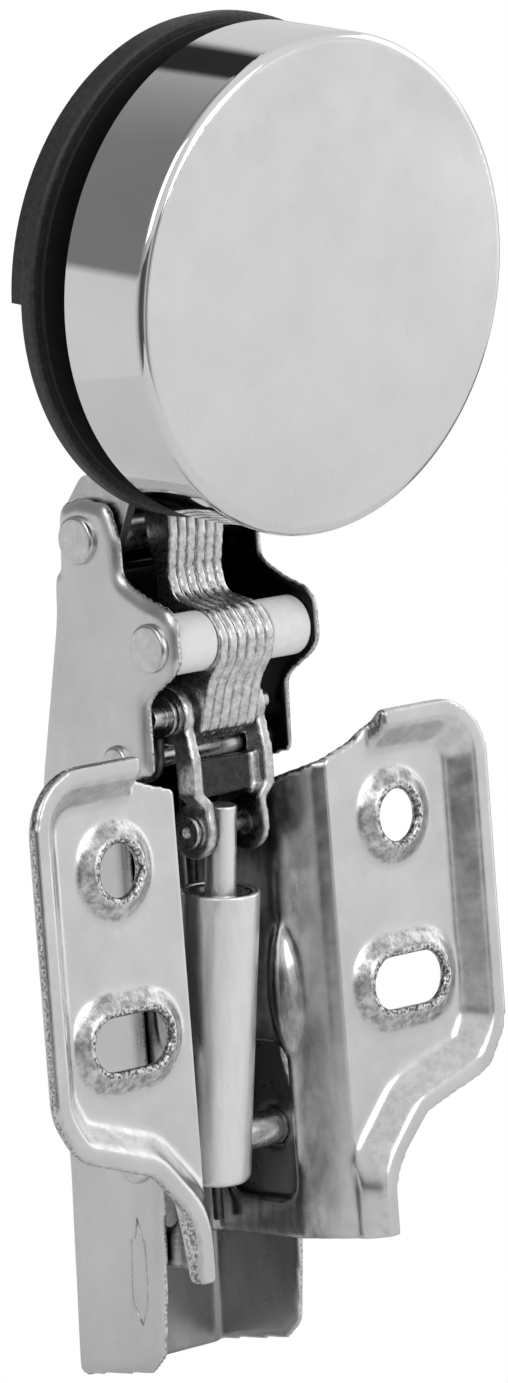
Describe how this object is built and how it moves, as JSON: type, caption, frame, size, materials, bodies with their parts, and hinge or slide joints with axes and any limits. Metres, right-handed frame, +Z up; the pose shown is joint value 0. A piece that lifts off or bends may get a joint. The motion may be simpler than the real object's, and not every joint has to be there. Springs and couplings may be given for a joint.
{
  "type": "glass door hinge",
  "caption": "Concealed soft-close hinge for a glass door: wing plate with screw holes, channel arm, linkage, damper and a capped cup that clamps the glass",
  "frame": {"origin": "on the panel face that the wing rim rests on, midway between the two round screw holes", "axes": "+Z up the arm towards the cup, -Y into the panel, +X along the pivot pins"},
  "size_m": [0.0518, 0.0345, 0.1132],
  "materials": {
    "steel_plate": "nickel-plated pressed sheet, satin",
    "steel_arm": "nickel-plated pressed sheet, fine satin",
    "steel_link": "nickel-plated punched steel with rough cut edges",
    "steel_pin": "nickel-plated pin, bright turned end",
    "steel_spring": "drawn spring wire",
    "steel_damper": "satin tube",
    "chrome_cap": "mirror side, fine satin face",
    "black_plastic": "fine-grained black moulding",
    "white_plastic": "white moulded washer",
    "gasket_rubber": "thin black washer"
  },
  "bodies": {
    "base": {"base_plate": "steel_plate", "arm": "steel_arm", "outer_link_pin": "steel_pin", "inner_link_pin": "steel_pin", "spring_pin": "steel_pin", "rear_pin": "steel_pin", "spacer_left": "white_plastic", "spacer_right": "white_plastic", "closing_spring_left": "steel_spring", "closing_spring_right": "steel_spring", "damper_cylinder": "steel_damper", "damper_lid": "steel_pin"},
    "outer_link": {"outer_link": "steel_link"},
    "cup": {"cup_body": "black_plastic", "cap": "chrome_cap", "cap_insert": "black_plastic", "cap_screw_left": "steel_pin", "cap_screw_right": "steel_pin", "cup_pin_outer_left": "steel_pin", "cup_pin_outer_right": "steel_pin", "cup_pin_inner": "steel_pin", "inner_gasket": "gasket_rubber", "outer_gasket": "gasket_rubber"},
    "inner_link": {"inner_link_plate_1": "steel_link", "inner_link_plate_2": "steel_link", "inner_link_plate_3": "steel_link", "inner_link_plate_4": "steel_link", "inner_link_plate_5": "steel_link", "inner_link_plate_6": "steel_link", "tail_pin": "steel_pin"},
    "damper_link": {"damper_link": "steel_link"},
    "damper_piston": {"damper_rod": "steel_pin", "damper_piston": "white_plastic", "damper_rivet": "steel_pin"},
    "depth_screw": {"depth_screw": "steel_pin"},
    "side_adjust_screw": {"side_adjust_screw": "steel_pin"}
  },
  "joints": [
    {"name": "outer_link_swing", "type": "hinge", "parent": "base", "child": "outer_link", "pos_m": [0, 0.01146, 0.02589], "axis": [1, 0, 0], "range_deg": [0, 12]},
    {"name": "cup_swing", "type": "hinge", "parent": "outer_link", "child": "cup", "pos_m": [0, -0.00139, 0.03964], "axis": [-1, 0, 0], "range_deg": [0, 110]},
    {"name": "inner_link_swing", "type": "hinge", "parent": "base", "child": "inner_link", "pos_m": [0, 0.00375, 0.0171], "axis": [1, 0, 0], "range_deg": [0, 32]},
    {"name": "damper_link_swing", "type": "hinge", "parent": "inner_link", "child": "damper_link", "pos_m": [0, 0.0068, 0.0109], "axis": [1, 0, 0], "range_deg": [-51.86, 0]},
    {"name": "damper_stroke", "type": "slide", "parent": "base", "child": "damper_piston", "axis": [0, -0.1317, 0.9913], "range_m": [0, 0.00344]},
    {"name": "depth_screw_turn", "type": "hinge", "parent": "base", "child": "depth_screw", "pos_m": [0, 0.018, -0.022], "axis": [0, 1, 0], "continuous": true},
    {"name": "side_adjust_screw_turn", "type": "hinge", "parent": "base", "child": "side_adjust_screw", "pos_m": [0, 0.018, -0.006], "axis": [0, 1, 0], "continuous": true}
  ],
  "couplings": [
    {"joint": "outer_link_swing", "follows": "cup_swing", "ratio": 0.10909},
    {"joint": "inner_link_swing", "follows": "cup_swing", "ratio": 0.29091},
    {"joint": "damper_link_swing", "follows": "cup_swing", "ratio": -0.47145},
    {"joint": "damper_stroke", "follows": "cup_swing", "m_per_rad": 0.0017928}
  ]
}
